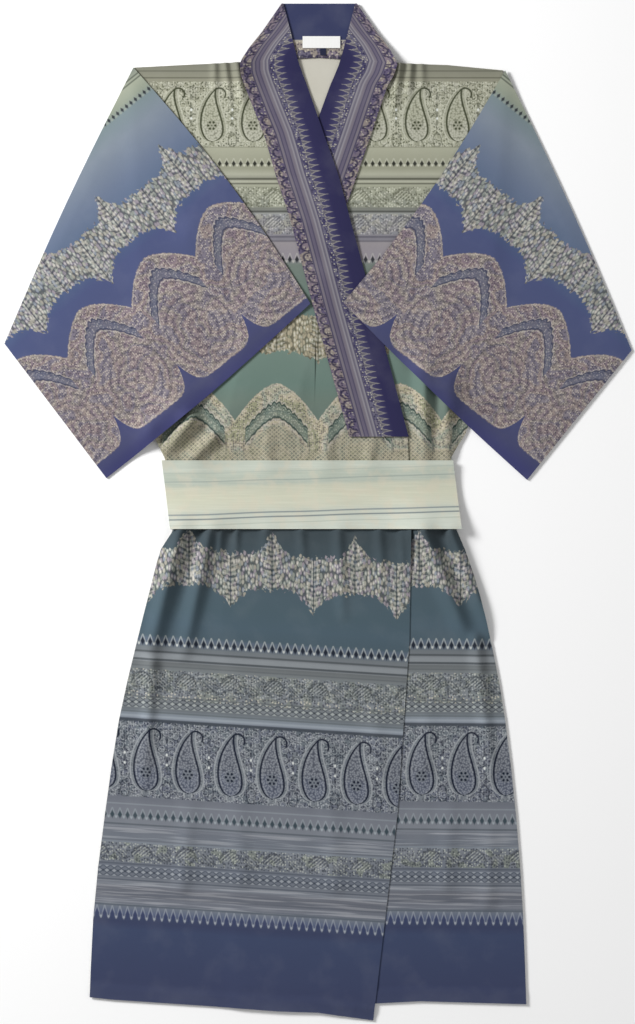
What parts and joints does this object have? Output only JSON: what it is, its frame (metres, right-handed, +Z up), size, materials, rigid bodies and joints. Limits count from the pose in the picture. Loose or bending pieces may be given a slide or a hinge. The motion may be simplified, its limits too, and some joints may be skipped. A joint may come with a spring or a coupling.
{
  "type": "cotton yukata robe laid flat",
  "caption": "Cotton yukata-style robe laid flat, with short wide sleeves, crossed front, collar band and belt.",
  "frame": {"origin": "centre of the bounding box on the surface that the robe lies on", "axes": "+X towards the wearer's left, +Y towards the collar, +Z up from the surface"},
  "size_m": [0.741, 1.2012, 0.0154],
  "materials": {
    "body_cloth": "soft printed cotton sateen",
    "sleeve_cloth": "soft printed cotton sateen",
    "collar_cloth": "printed cotton, folded double",
    "belt_cloth": "printed cotton, folded double",
    "label_tape": "smooth woven tape, blank",
    "loop_cord": "dark woven cord"
  },
  "bodies": {
    "root": {"back_panel": "body_cloth", "front_right": "body_cloth", "overlap_right": "body_cloth", "front_left": "body_cloth", "overlap_left": "body_cloth", "sleeve_right": "sleeve_cloth", "sleeve_left": "sleeve_cloth", "collar_right": "collar_cloth", "collar_left": "collar_cloth", "collar_back": "collar_cloth", "belt": "belt_cloth", "neck_label": "label_tape", "hanging_loop": "loop_cord"}
  },
  "joints": []
}
